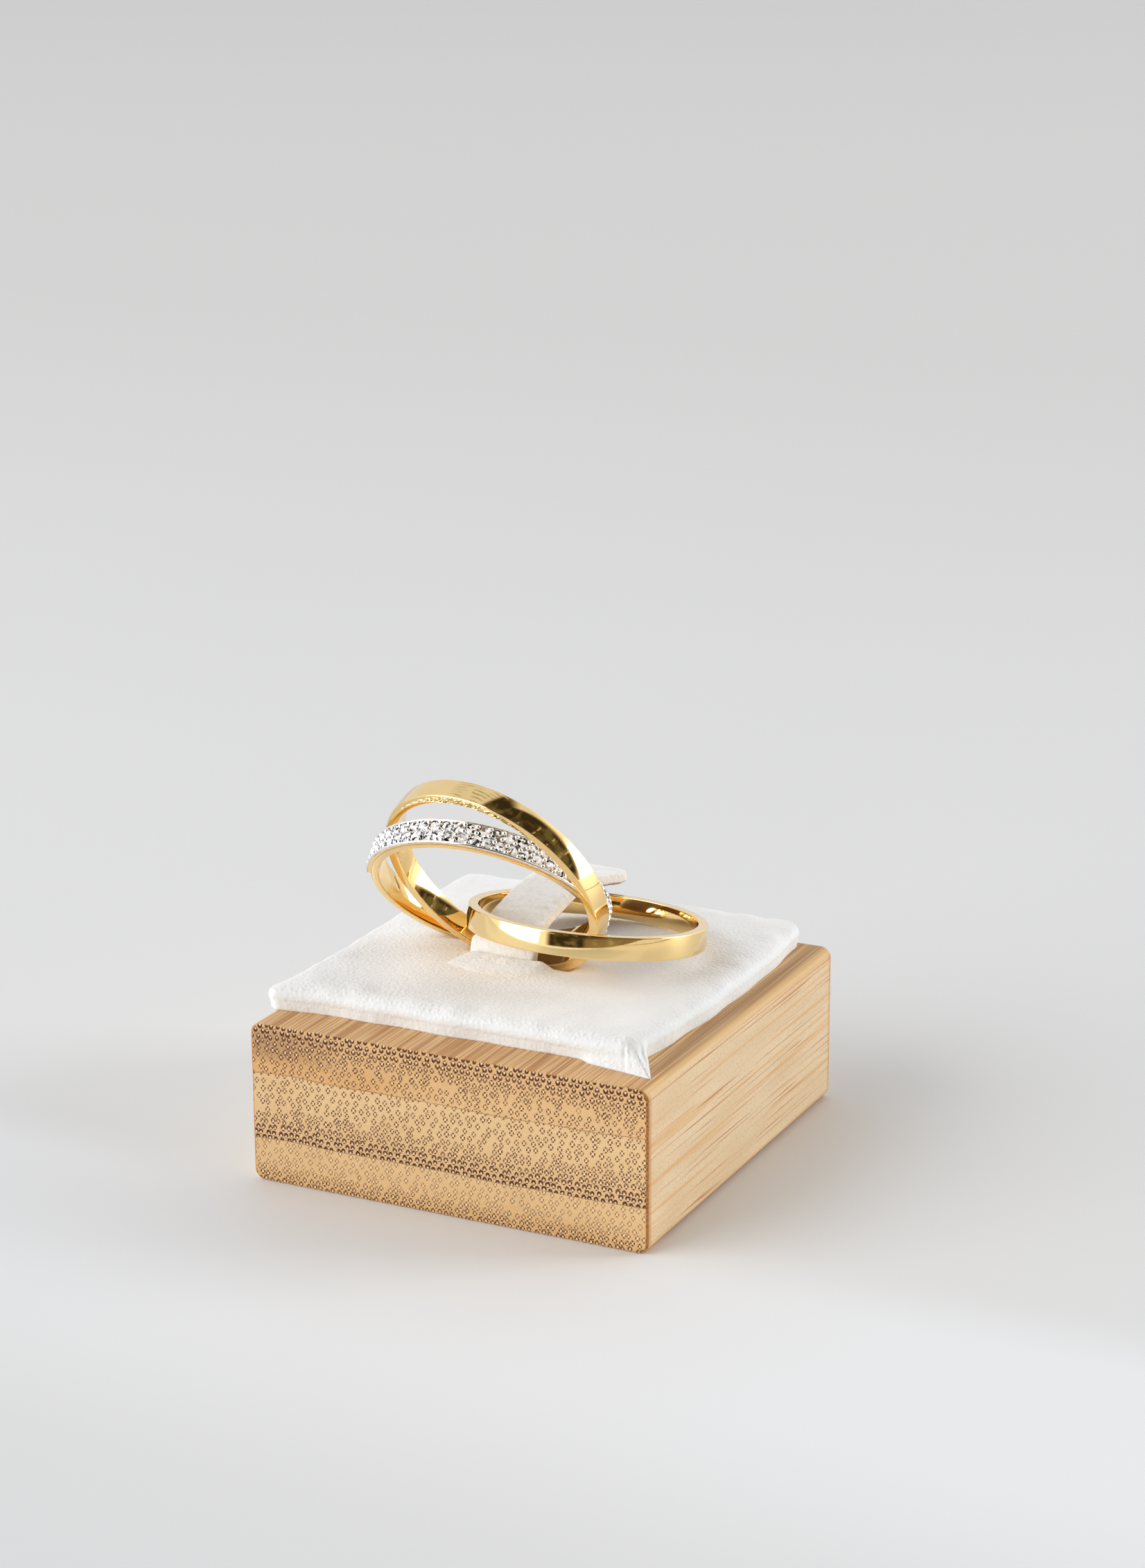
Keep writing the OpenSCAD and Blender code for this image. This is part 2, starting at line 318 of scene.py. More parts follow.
# rings run round the section, so the grid is turned to wrap round it
around = rings.shape[1]
points = rings.transpose(1, 0, 2).reshape(-1, 3)
columns = len(stations)
ends = [(np.arange(around) * columns).tolist(), (np.arange(around) * columns + columns - 1)[::-1].tolist()]
faces = [*grid_faces(around, columns, wrap_rows=True)[:, ::-1].tolist(), *ends]
smooth = np.arange(len(faces)) < len(faces) - 2

bamboo = Finish("lacquered_bamboo")
x, y, z = [v / MM for v in bamboo.parts(bamboo.place())]
nx, ny, nz = [abs(v) for v in bamboo.parts(bamboo.place("Normal"))]
end_grain = ny.rise(0.55, 0.80)
top_face = nz.rise(0.5, 0.8)
# two glue lines, which wander a little, part the three layers
waver = (bamboo.noise(bamboo.vector(x * 0.09), 1.0, 1.0) - 0.5) * 1.2
upper_line, lower_line = 9.0 + waver, 3.6 + waver * 0.6
in_upper = (z - upper_line).rise(-0.03, 0.03)
in_lower = (lower_line - z).rise(-0.03, 0.03)
in_middle = 1 - in_upper.most(in_lower)
# depth: how far a point lies from the hard outer side of its own layer, in mm
depth = in_upper * (block_z - z) + in_middle * (z - lower_line) + in_lower * (z + 0.8)
row_step, growth = 0.43, 0.09


def bundles(step, near, far, seed):
    """Cut ends of fibre bundles on a loose staggered lattice, further apart with depth.

    Rows are counted by ln(1 + growth * depth) / (growth * row_step), so that they lie row_step apart
    at the hard side, and each row is shifted half a step. With a and b the distances from a bundle's
    middle in its own radii and r = sqrt(a*a + b*b), an open bundle is dark in the ring 0.45 < r < 1
    where |a*a - b*b| / (r*r) is large, which leaves four pits round a pale core. A close one is a
    dark crescent on its inner side. Returns the dark mask and the mask of the pale cores."""
    # adding 40 or 80 rows keeps the lattices of the three layers apart
    row = (1 + growth * depth).math("LOGARITHM", np.e) / (growth * row_step)
    flat = bamboo.vector(x / step + row * 0.5 + seed * in_upper, row + 40 * in_upper + 80 * in_lower)
    cell = bamboo.node("ShaderNodeTexVoronoi", {"voronoi_dimensions": "2D", "feature": "F1"},
                       {"Vector": flat, "Scale": 1.0, "Randomness": 0.42})
    cell_x, cell_row, _ = bamboo.parts(cell.outputs["Position"])
    one, two, _ = bamboo.parts(cell.outputs["Color"])
    mid_row = cell_row - 40 * in_upper - 80 * in_lower
    mid_x = (cell_x - mid_row * 0.5 - seed * in_upper) * step
    mid_depth = ((mid_row * (growth * row_step)).math("EXPONENT") - 1) / growth
    shown = mid_depth.rise(near - 0.01, near + 0.01) * mid_depth.rise(far + 0.01, far - 0.01)
    size = 0.92 + 0.22 * one
    a, b = (x - mid_x) / (0.185 * size), (depth - mid_depth) / (0.235 * size)
    r = (a * a + b * b) ** 0.5
    close = mid_depth.rise(2.3, 0.5) * (1 - 0.35 * in_lower)
    pits = (abs(a * a - b * b) / (r * r + 0.01)).rise(0.30, 0.85)
    core = (a * a + (b + 0.26 * close) * (b + 0.26 * close)) ** 0.5
    ring = core.rise(0.36, 0.58) * r.rise(1.10, 0.88)
    crescent = b.rise(-0.85, 0.05) * close
    dark = ring * (pits * (0.80 + 0.25 * two + 0.2 * close)).most(crescent)
    return dark * shown, core.rise(0.52, 0.22) * shown * (0.5 + 0.5 * two)


pits, cores = bundles(0.55, -0.3, 2.5, 7.3)
open_pits, open_cores = bundles(0.70, 2.5, 6.0, 3.7)
pits, cores = pits.most(open_pits), cores.most(open_cores)
pits = pits * (1 - 0.38 * in_lower * depth.rise(1.2, 2.6))
outer = depth.rise(4.0, 0.5)
cloud = bamboo.noise(bamboo.vector(x * 0.14, y * 0.02, z * 0.3), 1.0, 3.0)
speck = bamboo.noise(bamboo.place(), 5200.0, 2.0)
end_colour = bamboo.mix(outer, linear(231, 194, 143), linear(224, 182, 130))
upper_warmth = in_upper * (0.30 + 0.45 * x.rise(2.0, -8.0) * depth.rise(1.5, 3.2))
end_colour = bamboo.mix(upper_warmth, end_colour, linear(220, 164, 98))
end_colour = bamboo.mix(in_lower * (0.25 + 0.5 * z.rise(1.6, 0.2)), end_colour, linear(218, 172, 112))
end_colour = bamboo.mix(cloud.rise(0.50, 0.75) * 0.35, end_colour, linear(206, 158, 104))
stain = x.rise(-7.0, -15.5) * z.rise(9.6, 10.8) * z.rise(12.9, 12.2)
end_colour = bamboo.mix(stain * 0.6, end_colour, linear(160, 116, 76))
glue = abs(z - upper_line - 0.04).rise(0.07, 0.0) * cloud.rise(0.42, 0.55)
end_colour = bamboo.mix(glue * 0.4, end_colour, linear(196, 128, 66))
end_colour = bamboo.mix(speck.rise(0.5, 0.75) * 0.22, end_colour, linear(246, 214, 168))
pit_colour = bamboo.mix(outer, linear(134, 78, 34), linear(92, 42, 14))
end_colour = bamboo.mix(pits, end_colour, pit_colour)
end_colour = bamboo.mix(cores * 0.75, end_colour, linear(254, 232, 196))

# along the grain the same fibres show as long thin lines, closer and darker on the top
side_lines = bamboo.noise(bamboo.vector(z * 2.6, y * 0.035, 4.0), 1.0, 1.5, 0.45)
thin_lines = bamboo.noise(bamboo.vector(z * 6.5, y * 0.07, 8.0), 1.0, 1.0, 0.4)
patch = bamboo.noise(bamboo.vector(z * 0.32, y * 0.09, 2.0), 1.0, 1.0)
side_colour = bamboo.mix(patch.rise(0.35, 0.7), linear(232, 207, 170), linear(224, 195, 154))
side_colour = bamboo.mix(speck.rise(0.52, 0.68) * 0.35, side_colour, linear(186, 156, 116))
side_colour = bamboo.mix(side_lines.rise(0.53, 0.70) * 0.55, side_colour, linear(222, 164, 92))
side_threads = thin_lines.rise(0.60, 0.68) * patch.rise(0.62, 0.42)
side_colour = bamboo.mix(side_threads * 0.8, side_colour, linear(188, 118, 56))
top_streak = abs(z - 12.15 - waver * 0.1).rise(0.09, 0.02)
side_colour = bamboo.mix(top_streak * 0.6, side_colour, linear(200, 132, 64))
side_colour = bamboo.mix(z.rise(0.9, 0.3) * 0.75, side_colour, linear(230, 168, 84))
broad_streak = bamboo.noise(bamboo.vector(x * 2.4, y * 0.03, 6.0), 1.0, 1.0)
fine_streak = bamboo.noise(bamboo.vector(x * 6.5, y * 0.06, 5.0), 1.0, 1.5)
top_colour = bamboo.mix(fine_streak.rise(0.36, 0.60), linear(238, 204, 153), linear(206, 151, 92))
top_colour = bamboo.mix(broad_streak.rise(0.52, 0.60) * 0.55, top_colour, linear(172, 108, 54))
# painted shade: the top is darker on the strip right of the pad, from the ear backward
top_colour = bamboo.mix(x.rise(14.8, 15.6) * y.rise(-15.0, -13.0) * 0.55, top_colour, linear(168, 128, 84))
long_colour = bamboo.mix(top_face, side_colour, top_colour)
colour = bamboo.mix(end_grain, long_colour, end_colour)
ragged = bamboo.noise(bamboo.vector(x * 2.0, y * 2.0, z * 3.2), 1.0, 2.0)
edge_line = (nx * ny).rise(0.10, 0.36) * (0.35 + 1.1 * ragged)
burnt = abs(y).rise(16.9, 17.45) * (1 - end_grain) * (1 - top_face) * (0.25 + 0.6 * ragged)
colour = bamboo.mix(edge_line.most(burnt).between(0.0, 0.9), colour, linear(196, 126, 52))
# painted highlight: the rounded upper long edges are lighter
painted_edge_highlight = (nz * nx).rise(0.24, 0.48) * z.rise(6.0, 7.0)
colour = bamboo.mix(painted_edge_highlight * 0.6, colour, linear(240, 200, 136))
bumpy = bamboo.bump(1 - pits * end_grain, 0.00006)
long_relief = (side_lines * (1 - top_face) + broad_streak * top_face) * (1 - end_grain)
bumpy = bamboo.bump(long_relief + speck * 0.4, 0.00002, bumpy)
bamboo_material = bamboo.close(Base_Color=colour, Roughness=0.50 + 0.16 * speck + 0.1 * pits, Normal=bumpy,
                               Coat_Weight=0.08, Coat_Roughness=0.25, Specular_IOR_Level=0.35)
bamboo_piece = mesh_piece("bamboo_body", points, faces, bamboo_material, smooth)
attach(bamboo_piece, "root")
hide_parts("bamboo_block")


# Leather pad: white leather drawn over a thin foam cushion and tucked under its edges. The ring
# presses it down beside the slit, and the slit's front lip stands up in a fold.
def tray(rim, lines_x, lines_y):
    """A sheet laid over a rectangle and folded down its sides.

    lines_x and lines_y place the grid lines of the flat top; beyond them a point goes outward along
    rim, rows of (outward, height) from the top's edge down, and round the corners in a quarter
    circle: in a corner's square the larger of the two overshoots is the place along rim, and their
    ratio times 45 degrees is the angle."""
    n = len(rim)
    order = np.arange(1, n)
    s = [np.concatenate([-order[::-1], np.zeros(len(q)), order]) for q in (lines_x, lines_y)]
    inner = [np.concatenate([np.full(n - 1, q[0]), q, np.full(n - 1, q[-1])]) for q in (lines_x, lines_y)]
    over_x, over_y = np.meshgrid(s[0], s[1], indexing="ij")
    x, y = np.meshgrid(inner[0], inner[1], indexing="ij")
    a, b = np.abs(over_x), np.abs(over_y)
    most = np.maximum(a, b)
    least = np.minimum(a, b)
    angle = np.where(most > 0, least / np.maximum(most, 1), 0) * np.pi / 4
    angle = np.where(a >= b, angle, np.pi / 2 - angle)
    out = rim[most.astype(int)]
    x = x + np.sign(over_x) * out[..., 0] * np.cos(angle)
    y = y + np.sign(over_y) * out[..., 0] * np.sin(angle)
    return np.stack([x, y, out[..., 1]], -1)


def closed_tray(points):
    """A tray's points and one below its middle, and the faces of its grid and flat underside."""
    rows, columns = points.shape[:2]
    index = np.arange(rows * columns).reshape(rows, columns)
    edge = np.concatenate([index[:-1, 0], index[-1, :-1], index[:0:-1, -1], index[0, :0:-1]])
    middle = points.reshape(-1, 3)[edge].mean(0)
    flat = np.vstack([points.reshape(-1, 3), middle])
    under = np.stack([edge, np.full(len(edge), len(flat) - 1), np.roll(edge, -1)], 1)
    return flat, [*grid_faces(rows, columns).tolist(), *under.tolist()]


def waves(x, y, size, seed, count=28):
    """Smooth random relief, mostly from -1 to 1: a sum of plane waves with wavelengths near size."""
    draw = np.random.default_rng(seed)
    course, phase = draw.uniform(0, 2 * np.pi, (2, count))
    pace = 2 * np.pi / size * draw.uniform(0.6, 1.5, count)
    total = sum(np.cos(p * (np.cos(c) * x + np.sin(c) * y) + f) for p, c, f in zip(pace, course, phase))
    return total / np.sqrt(count)


def step_up(value, low, high):
    """Smooth step from 0 at low to 1 at high."""
    t = np.clip((value - low) / (high - low), 0, 1)
    return t * t * (3 - 2 * t)


def lie(at, lean, turned):
    """Pose of a ring that stands with its axis to the front, then leans and turns, in degrees."""
    return rotation("z", np.radians(-turned)) @ rotation("x", np.radians(90 + lean)), np.array(at)


def put(points, pose):
    """Points carried by a pose, which is a matrix and the place of the middle in mm."""
    return points @ pose[0].T + pose[1]


bore, wall, band_width = 8.65, 0.88, 1.86
upright_pose = lie((-2.198, -4.663, 22.882), 29.46, 8.05)
flat_pose = (rotation("y", np.radians(1.60)) @ rotation("x", np.radians(-9.54)),
             np.array([2.657, 1.456, 17.910]))
stone_pose = lie((-3.608, -3.236, 21.234), 45.49, -4.97)
base_wall, stone_width = 0.70, 2.06


def low_points(pose, radius, width):
    """Points of a band's outer face, close together, on the stretch that sinks into the pad."""
    degrees, half = np.arange(0, 360, 1.0), width / 2
    around, across = np.meshgrid(np.radians(degrees), np.linspace(-half, half, 9))
    p = put(np.stack([radius * np.cos(around), radius * np.sin(around), across], -1).reshape(-1, 3), pose)
    return p[p[:, 2] < pad_top + 0.4]


pad_low, pad_high = np.array([-16.5, -14.2]), np.array([14.5, 17.2])
pad_top, wood_top, pad_round = block_z + 2.3, block_z + 0.01, 1.05
slit_x, slit_y, slit_depth = -2.85, -2.30, 2.0
# the pad's side: a round past its widest place, then straight down to the wood
bend, down_side = np.radians(np.linspace(84, -24, 19)), np.linspace(0, 1, 8)[1:, None]
pad_edge = np.stack([pad_round * np.cos(bend), pad_top - pad_round + pad_round * np.sin(bend)], 1)
rim = np.vstack([[0.0, pad_top], pad_edge, pad_edge[-1] + down_side * [-0.10, wood_top - pad_edge[-1, 1]]])
flat_low, flat_high = pad_low + pad_round, pad_high - pad_round
# the grid is closer between these two lines, where the fold and the slit lie
fold_front, fold_back = -6.4, -1.0
lines_x = np.linspace(flat_low[0], flat_high[0], 236)
lines_y = np.concatenate([np.linspace(flat_low[1], fold_front, 54)[:-1],
                          np.linspace(fold_front, fold_back, 90)[:-1],
                          np.linspace(fold_back, flat_high[1], 118)])
pad_points = tray(rim, lines_x, lines_y)
x, y, z = pad_points[..., 0], pad_points[..., 1], pad_points[..., 2]
on_top = step_up(z, wood_top + 0.5, pad_top - 0.2)
edge_gap = np.minimum.reduce([x - pad_low[0], pad_high[0] - x, y - pad_low[1], pad_high[1] - y])
rise = 0.05 * waves(x, y, 9.0, 3) + 0.05 * waves(x, y, 3.2, 4) * step_up(edge_gap, 4.0, 0.0)
rise -= 0.10 * step_up(edge_gap, 2.2, 0.4)
# The two upright bands press it down: under each point q of a band's underside the leather lies at
# most q.z - 0.07 + 0.75 * d * d high, d being the level distance from q in mm.
upper_points = np.vstack([low_points(upright_pose, bore + wall, band_width),
                          low_points(stone_pose, bore + base_wall, stone_width)])
# Only the part of the pad near the bands is compared with them.
pushed = np.full(x.shape, pad_top + 1.0)
near = (x > -13) & (x < 8) & (y > -6) & (y < 8)
apart = (x[near][:, None] - upper_points[:, 0]) ** 2 + (y[near][:, None] - upper_points[:, 1]) ** 2
pushed[near] = (upper_points[:, 2] - 0.07 + 0.75 * apart).min(1)
# The slit's front lip stands up as a flap: its foot is a curve from a pointed left end round to
# the right, its left side runs straight back to the tongue, and it climbs to a ridge at the slit.
foot_x, foot_y = -1.8, -6.0
off_foot = np.abs(x - foot_x)
foot = foot_y + np.where(x < foot_x, 1.2 * (off_foot / 5.2) ** 2.2, 1.9 * (off_foot / 3.9) ** 2)
foot += 0.05 * waves(x, 0 * y, 1.3, 8)
ridge = -2.98
up_share = np.clip((y - foot) / np.maximum(ridge - foot, 0.6), 0, 1)
left_side = step_up(x - (-6.35 + (y + 4.8) * 0.50), -0.02, 0.14)
right_side = step_up(x, 2.3, 0.7)
lip = (0.07 * step_up(y - foot, 0.0, 0.3) * step_up(x, 0.0, -5.0) + 0.55 * up_share) * left_side * right_side
lip *= step_up(y, ridge + 0.13, ridge)
lip *= 1 + 0.04 * waves(x, y, 1.5, 9)
slit = step_up(np.abs(x - slit_x), 3.25, 3.02) * step_up(np.abs(y - slit_y), 0.72, 0.60)
top_now = z + on_top * rise
sunk = top_now - pushed
give = on_top * np.where(sunk > -0.5, 0.5 * (sunk + np.sqrt(sunk ** 2 + 0.03)), 0)
z = top_now - give + on_top * lip - on_top * slit * slit_depth
# pebbled grain, as relief
z = z + on_top * 0.004 * waves(x, y, 0.42, 11, 40)
# The plan of the sides: the front left corner is drawn out, the right side bulges in its middle,
# and the hem is not quite straight.
low_share = step_up(z, pad_top - 0.3, wood_top + 0.3)
middle = (pad_low + pad_high) / 2
off = np.stack([x, y], -1) - middle
reach_out = np.abs(off) / ((pad_high - pad_low) / 2)
on_side = np.sign(off) * step_up(reach_out, 0.90, 0.97)
along_side = np.where(reach_out[..., 0] > reach_out[..., 1], y, x)
hem = 0.07 * waves(along_side, 0 * y, 7.0, 31, 9) + 0.008 * waves(along_side, 0 * y, 1.4, 32, 14)
hem = hem * low_share
bulge = 0.6 - 0.0036 * (y - 4) ** 2
x_shift = on_side[..., 0] * hem + np.where(off[..., 0] > 0, bulge * step_up(reach_out[..., 0], 0.5, 1.0), 0)
y_shift = on_side[..., 1] * hem
to_corner = np.hypot(x - pad_low[0], y - pad_low[1])
drawn = np.exp(-(to_corner / 2.2) ** 1.5) * step_up(z, pad_top, pad_top - 0.7)
x, y = x + x_shift - 0.9 * drawn, y + y_shift - 0.7 * drawn
# At the front right corner the leather is drawn out to an ear, pointed on the wood: there a level
# section is a wedge with straight sides from ear_from to ear_tip to ear_to. Each point moves out
# along its ray from ear_middle to the wedge's side, by a share that grows downward.
ear_from, ear_tip, ear_to = np.array([8.5, -14.2]), np.array([16.1, -15.5]), np.array([14.25, -12.0])
ear_middle = np.array([12.6, -12.6])
ray = np.stack([x, y], -1) - ear_middle


def ray_share(start, end):
    """How many times ray has to be taken from ear_middle to meet the line from start to end."""
    side, gap = end - start, start - ear_middle
    across = ray[..., 0] * side[1] - ray[..., 1] * side[0]
    return (gap[0] * side[1] - gap[1] * side[0]) / np.where(np.abs(across) < 1e-6, 1e-6, across)


share_front, share_right = ray_share(ear_from, ear_tip), ray_share(ear_tip, ear_to)
share = np.minimum(np.where(share_front > 0, share_front, 99), np.where(share_right > 0, share_right, 99))
bearing = np.degrees(np.arctan2(ray[..., 1], ray[..., 0]))
on_right = share_right < share_front
in_ear = step_up(bearing, -161, -135) * step_up(bearing, 22, 14) * (z < pad_top - 0.02)
drop = np.clip((pad_top - 0.15 - z) / (pad_top - 0.15 - wood_top), 0, 1)
share_down = np.where(on_right, drop ** 3.5, drop ** 1.7)
move = np.where(in_ear > 0, (np.clip(share, 1, 3) - 1) * in_ear * share_down, 0)
x, y = x + ray[..., 0] * move, y + ray[..., 1] * move
pad_points = np.stack([x, y, np.maximum(z, wood_top)], -1)

leather = Finish("white_leather")
where = leather.place()
x, y, z = [v / MM for v in leather.parts(where)]
facing = leather.parts(leather.place("Normal"))[2]
side = abs(facing).rise(0.75, 0.35)
pebble = leather.node("ShaderNodeTexVoronoi", {"feature": "SMOOTH_F1"},
                      {"Vector": where, "Scale": 3300.0, "Smoothness": 0.7, "Randomness": 1.0})
pebble = Shade(leather, pebble.outputs["Distance"])
grain = leather.noise(where, 4200.0, 3.0)
stretch = leather.noise(leather.vector(x * 3.4, y * 3.4, z * 1.1), 1.0, 2.0)
height = (1 - pebble.rise(0.0, 0.7)) * 0.7 + grain * 0.4
height = height * (1 - 0.5 * side) + stretch * 0.55 * side
normal = leather.bump(height, 0.00005)
mottle = leather.noise(where, 260.0, 3.0)
colour = leather.mix(mottle.rise(0.3, 0.75), linear(246, 245, 245), linear(241, 240, 239))
# painted shade: the hollows between the pebbles are a little darker
colour = leather.mix(pebble.rise(0.45, 0.8) * 0.12, colour, linear(226, 224, 221))
# the gold throws a warm light on the leather beside it
off_x, off_y = x + 3.0, y + 0.6
warm = ((off_x * off_x / 90 + off_y * off_y / 60) ** 0.5).rise(1.15, 0.25) * z.rise(15.55, 15.25)
colour = leather.mix(warm * 0.6, colour, linear(250, 232, 210))
# painted light: the pad's sides are lighter and cooler than its top
colour = leather.mix(side * 0.6, colour, linear(244, 252, 255))
leather_material = leather.close(Base_Color=colour, Roughness=0.62 + 0.16 * grain, Normal=normal,
                                 Specular_IOR_Level=0.35, Sheen_Weight=0.1)
pad_piece = mesh_piece("pad_cover", *closed_tray(pad_points), leather_material)
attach(pad_piece, "root")
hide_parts("leather_pad")


# Leather tongue: one strip of split leather 1.1 mm thick. It stands in the slit, runs back through
# the bands and lies over the flat band's far side, its end cut round.
def smooth_line(knots, per_span):
    """Catmull-Rom curve through knots, an (n, k) array, with per_span points between each two."""
    p = np.vstack([2 * knots[0] - knots[1], knots, 2 * knots[-1] - knots[-2]])
    t = np.linspace(0, 1, per_span, endpoint=False)[:, None]
    # a span runs from b to c, with a before it and d after it
    a, b, c, d = (p[i:len(p) - 3 + i, None] for i in range(4))
    spans = 0.5 * (2 * b + (c - a) * t + (2 * a - 5 * b + 4 * c - d) * t ** 2
                   + (3 * b - a - 3 * c + d) * t ** 3)
    return np.vstack([spans.reshape(-1, knots.shape[1]), p[-2]])


tongue_thick, tip_round = 1.1, 2.5
root_half, upper_half, tip_half = 2.95, 2.60, 0.3
tongue_pose = (rotation("z", np.radians(-3.3)), np.array([slit_x, slit_y, 0]))
knots = np.array([[slit_y, 13.2], [slit_y, 14.40], [slit_y, 15.50], [-2.06, 16.40], [-1.35, 17.05],
                  [-0.10, 17.70], [2.00, 18.35], [4.20, 18.92], [6.20, 19.18], [8.30, 19.00],
                  [10.40, 18.60], [12.50, 18.15], [14.40, 17.78]])
line = smooth_line(knots, 16)
run = np.gradient(line, axis=0)
run /= np.linalg.norm(run, axis=1)[:, None]
lift = np.stack([-run[:, 1], run[:, 0]], 1)
reach = line[:, 0] - slit_y
end = reach[-1] + tongue_thick / 2
# half width along the strip: the root, the narrower upper part and the round end
wide = root_half + (upper_half - root_half) * step_up(reach, 0.2, 0.7)
past = np.clip(reach - (end - tip_round), 0, tip_round) / tip_round
wide = np.where(past > 0, tip_half + (wide - tip_half) * np.sqrt(np.clip(1 - past ** 2, 0, 1)), wide)
section = np.linspace(0, 2 * np.pi, 72, endpoint=False)
across = np.sign(np.cos(section)) * np.abs(np.cos(section)) ** 0.22
thick = np.sign(np.sin(section)) * np.abs(np.sin(section)) ** 0.75
soft = 0.5 * tongue_thick * (1 - 0.12 * step_up(reach, end - 3, end))
side_x = wide[:, None] * across[None, :]
off = soft[:, None] * thick[None, :]
rough = 1 + 0.05 * waves(side_x, reach[:, None] + off, 1.1, 21)
points_y = line[:, :1] + lift[:, :1] * off * rough
points_z = line[:, 1:] + lift[:, 1:] * off * rough
tongue_points = put(np.stack([side_x, points_y - slit_y, points_z], -1), tongue_pose)
rows, columns = tongue_points.shape[:2]
flat = tongue_points.reshape(-1, 3)
ends = np.vstack([flat[:columns].mean(0), flat[-columns:].mean(0)])
this, following = np.arange(columns), np.roll(np.arange(columns), -1)
last_ring = (rows - 1) * columns
caps = [np.stack([this, following, np.full(columns, rows * columns)], 1),
        np.stack([last_ring + following, last_ring + this, np.full(columns, rows * columns + 1)], 1)]
faces = [*grid_faces(rows, columns, wrap_columns=True)[:, ::-1].tolist(), *np.vstack(caps).tolist()]
suede = Finish("split_leather")
where = suede.place()
fibre = suede.noise(where, 1900.0, 4.0, 0.6)
blotch = suede.noise(where, 420.0, 3.0)
side_on, _, up_on = suede.parts(suede.place("Normal"))
tint = suede.mix(blotch.rise(0.3, 0.7), linear(250, 248, 246), linear(242, 239, 236))
tint = suede.mix(fibre.rise(0.48, 0.75) * 0.4, tint, linear(214, 208, 201))
tint = suede.mix(abs(side_on).rise(0.55, 0.85) * 0.35, tint, linear(224, 202, 172))
# painted shade: faces turned downward are dark brown
tint = suede.mix(up_on.rise(-0.2, -0.7) * 0.75, tint, linear(134, 108, 80))
suede_material = suede.close(Base_Color=tint, Roughness=0.85, Normal=suede.bump(fibre, 0.00014),
                             Specular_IOR_Level=0.2)
tongue_piece = mesh_piece("tongue_strip", np.vstack([flat, ends]), faces, suede_material)
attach(tongue_piece, "root")
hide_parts("leather_tongue")


# Plain bands: two rings, turned with faces that are slightly domed, polished to a mirror and gold
# plated. One stands up and leans to the front, the other lies almost flat, linked through the rest.
def revolve(profile, count):
    """Carries a closed profile of (radius, height) points round the Z axis."""
    a = np.linspace(0, 2 * np.pi, count, endpoint=False)[:, None]
    r, h = profile.T
    return np.stack([np.cos(a) * r, np.sin(a) * r, h + 0 * a], -1)


def band_section(low, high, width, corner=0.10, crown=0.05):
    """Closed outline of a band: at height h and with half the width w, the outside has the radius
    high - crown (h / w)^2 and the inside low + crown (h / w)^2; quarter circles round the corners."""
    w = width / 2
    flat = w - corner
    h, b = np.linspace(0, flat, 10), np.radians(np.linspace(12, 90, 7))
    deep = corner + crown * (flat / w) ** 2
    half = np.vstack([np.stack([high - crown * (h / w) ** 2, h], 1),
                      np.stack([high - deep + corner * np.cos(b), flat + corner * np.sin(b)], 1),
                      np.stack([low + deep - corner * np.cos(b), flat + corner * np.sin(b)], 1)[::-1],
                      np.stack([low + crown * (h / w) ** 2, h], 1)[::-1]])
    return np.vstack([half, (half * [1, -1])[-2:0:-1]])


gold = Finish("polished_gold_plate")
where = gold.place()
haze = gold.noise(where, 900.0, 3.0)
hair = gold.noise(where, 9000.0, 2.0)
gold_tone, gold_deep = (0.975, 0.715, 0.335), (0.96, 0.695, 0.315)
gold_colour = gold.mix(haze.rise(0.3, 0.8), gold_tone, gold_deep)
gold_material = gold.close(Base_Color=gold_colour, Metallic=1.0, Roughness=0.035 + 0.03 * haze,
                           Normal=gold.bump(hair, 0.0000005))
ring_steps = 720
section = band_section(bore, bore + wall, band_width)
faces = grid_faces(ring_steps, len(section), wrap_rows=True, wrap_columns=True).tolist()
for name, pose, node in (("upright_ring", upright_pose, "plain_band_upright"),
                         ("flat_ring", flat_pose, "plain_band_flat")):
    points = put(revolve(section, ring_steps), pose).reshape(-1, 3)
    piece = mesh_piece(name, points, faces, gold_material)
    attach(piece, "root")
    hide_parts(node)


# Stone band: the same ring with a thinner gold wall; over about half of it lies white metal with
# two rails, conical seats and small raised beads, cut and pushed over the stones' edges.
plate_wall, rail_rise, rail_wide, plate_past = 0.30, 0.06, 0.18, 4.4
stones_from, stone_step, in_row, stone_size, row_at = -24.5, 6.1, 31, 0.80, 0.43
section = band_section(bore, bore + base_wall, stone_width)
faces = grid_faces(ring_steps, len(section), wrap_rows=True, wrap_columns=True).tolist()
points = put(revolve(section, ring_steps), stone_pose).reshape(-1, 3)
base_piece = mesh_piece("stone_ring_base", points, faces, gold_material)
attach(base_piece, "root")
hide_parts("stone_band")

floor_r = bore + base_wall + plate_wall
in_front, between = np.arange(in_row), np.arange(-1, in_row) + 0.5


def places(steps, height):
    """Angle in degrees and height of a row of places on the band."""
    return np.stack([stones_from + stone_step * steps, np.full(len(steps), height)], 1)


